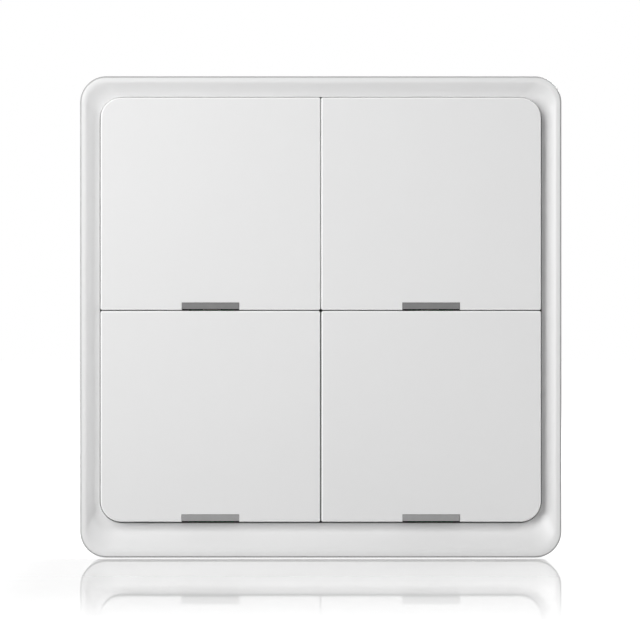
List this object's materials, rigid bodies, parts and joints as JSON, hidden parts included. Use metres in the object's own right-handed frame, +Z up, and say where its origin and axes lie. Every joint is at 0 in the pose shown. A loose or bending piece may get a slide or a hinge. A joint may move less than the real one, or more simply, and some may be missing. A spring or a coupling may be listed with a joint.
{
  "type": "wireless wall button panel",
  "caption": "Square wall-mounted wireless push-button panel: hinged square keys in a dished frame, each with a small light window at its lower edge.",
  "frame": {"origin": "middle of the back face that goes against the wall", "axes": "+X to the right seen from the front, +Y into the wall, +Z up"},
  "size_m": [0.086, 0.012, 0.086],
  "materials": {
    "bezel_plastic": "satin white moulded plastic",
    "key_plastic": "fine matte white moulded plastic",
    "smoked_window": "smoky translucent plastic",
    "base_plastic": "plain white moulded plastic",
    "carrier_plastic": "dark grey moulded plastic",
    "foam_tape": "closed-cell foam tape",
    "circuit_board": "green solder mask",
    "radio_board": "green solder mask",
    "screw_steel": "zinc-plated steel",
    "tinned_steel": "tinned sheet steel",
    "shield_steel": "tinned sheet steel",
    "dome_steel": "spring steel",
    "cell_steel": "nickel-plated steel",
    "contact_brass": "plated spring brass",
    "copper_trace": "gold-flashed copper",
    "black_plastic": "black moulded plastic",
    "black_chip": "black chip resistor",
    "ceramic_chip": "tan ceramic chip",
    "led_package": "white light package"
  },
  "bodies": {
    "housing": {"front_bezel": "bezel_plastic", "key_carrier": "carrier_plastic", "rear_base": "base_plastic", "adhesive_pads": "foam_tape", "circuit_board": "circuit_board", "board_screws": "screw_steel", "switch_base_upper_left": "black_plastic", "switch_base_upper_right": "black_plastic", "switch_base_lower_left": "black_plastic", "switch_base_lower_right": "black_plastic", "switch_cover_upper_left": "tinned_steel", "switch_cover_upper_right": "tinned_steel", "switch_cover_lower_left": "tinned_steel", "switch_cover_lower_right": "tinned_steel", "switch_dome_upper_left": "dome_steel", "switch_dome_upper_right": "dome_steel", "switch_dome_lower_left": "dome_steel", "switch_dome_lower_right": "dome_steel", "switch_terminals": "tinned_steel", "indicator_led_upper_left": "led_package", "indicator_led_upper_right": "led_package", "indicator_led_lower_left": "led_package", "indicator_led_lower_right": "led_package", "radio_board": "radio_board", "radio_shield": "shield_steel", "radio_antenna": "copper_trace", "crystal": "shield_steel", "chip_resistors": "black_chip", "chip_capacitors": "ceramic_chip", "battery_holder": "black_plastic", "battery_positive_clip": "contact_brass", "battery_negative_contact": "contact_brass", "coin_cell": "cell_steel"},
    "upper_left_key": {"key_upper_left": "key_plastic", "light_window_upper_left": "smoked_window"},
    "upper_left_plunger": {"switch_plunger_upper_left": "black_plastic"},
    "upper_right_key": {"key_upper_right": "key_plastic", "light_window_upper_right": "smoked_window"},
    "upper_right_plunger": {"switch_plunger_upper_right": "black_plastic"},
    "lower_left_key": {"key_lower_left": "key_plastic", "light_window_lower_left": "smoked_window"},
    "lower_left_plunger": {"switch_plunger_lower_left": "black_plastic"},
    "lower_right_key": {"key_lower_right": "key_plastic", "light_window_lower_right": "smoked_window"},
    "lower_right_plunger": {"switch_plunger_lower_right": "black_plastic"}
  },
  "joints": [
    {"name": "upper_left_press", "type": "hinge", "parent": "housing", "child": "upper_left_key", "pos_m": [-0.01969, -0.0095, 0.03615], "axis": [1, 0, 0], "range_deg": [0, 1], "stiffness_Nm_per_rad": 1, "springref_deg": -0.86},
    {"name": "upper_left_click", "type": "slide", "parent": "housing", "child": "upper_left_plunger", "axis": [0, 1, 0], "range_m": [0, 0.00035], "deforming": ["switch_dome_upper_left"]},
    {"name": "upper_right_press", "type": "hinge", "parent": "housing", "child": "upper_right_key", "pos_m": [0.01969, -0.0095, 0.03615], "axis": [1, 0, 0], "range_deg": [0, 1], "stiffness_Nm_per_rad": 1, "springref_deg": -0.86},
    {"name": "upper_right_click", "type": "slide", "parent": "housing", "child": "upper_right_plunger", "axis": [0, 1, 0], "range_m": [0, 0.00035], "deforming": ["switch_dome_upper_right"]},
    {"name": "lower_left_press", "type": "hinge", "parent": "housing", "child": "lower_left_key", "pos_m": [-0.01969, -0.0095, -0.00178], "axis": [1, 0, 0], "range_deg": [0, 1], "stiffness_Nm_per_rad": 1, "springref_deg": -0.86},
    {"name": "lower_left_click", "type": "slide", "parent": "housing", "child": "lower_left_plunger", "axis": [0, 1, 0], "range_m": [0, 0.00035], "deforming": ["switch_dome_lower_left"]},
    {"name": "lower_right_press", "type": "hinge", "parent": "housing", "child": "lower_right_key", "pos_m": [0.01969, -0.0095, -0.00178], "axis": [1, 0, 0], "range_deg": [0, 1], "stiffness_Nm_per_rad": 1, "springref_deg": -0.86},
    {"name": "lower_right_click", "type": "slide", "parent": "housing", "child": "lower_right_plunger", "axis": [0, 1, 0], "range_m": [0, 0.00035], "deforming": ["switch_dome_lower_right"]}
  ],
  "couplings": [
    {"joint": "upper_left_click", "follows": "upper_left_press", "m_per_rad": 0.02},
    {"joint": "upper_right_click", "follows": "upper_right_press", "m_per_rad": 0.02},
    {"joint": "lower_left_click", "follows": "lower_left_press", "m_per_rad": 0.02},
    {"joint": "lower_right_click", "follows": "lower_right_press", "m_per_rad": 0.02}
  ]
}
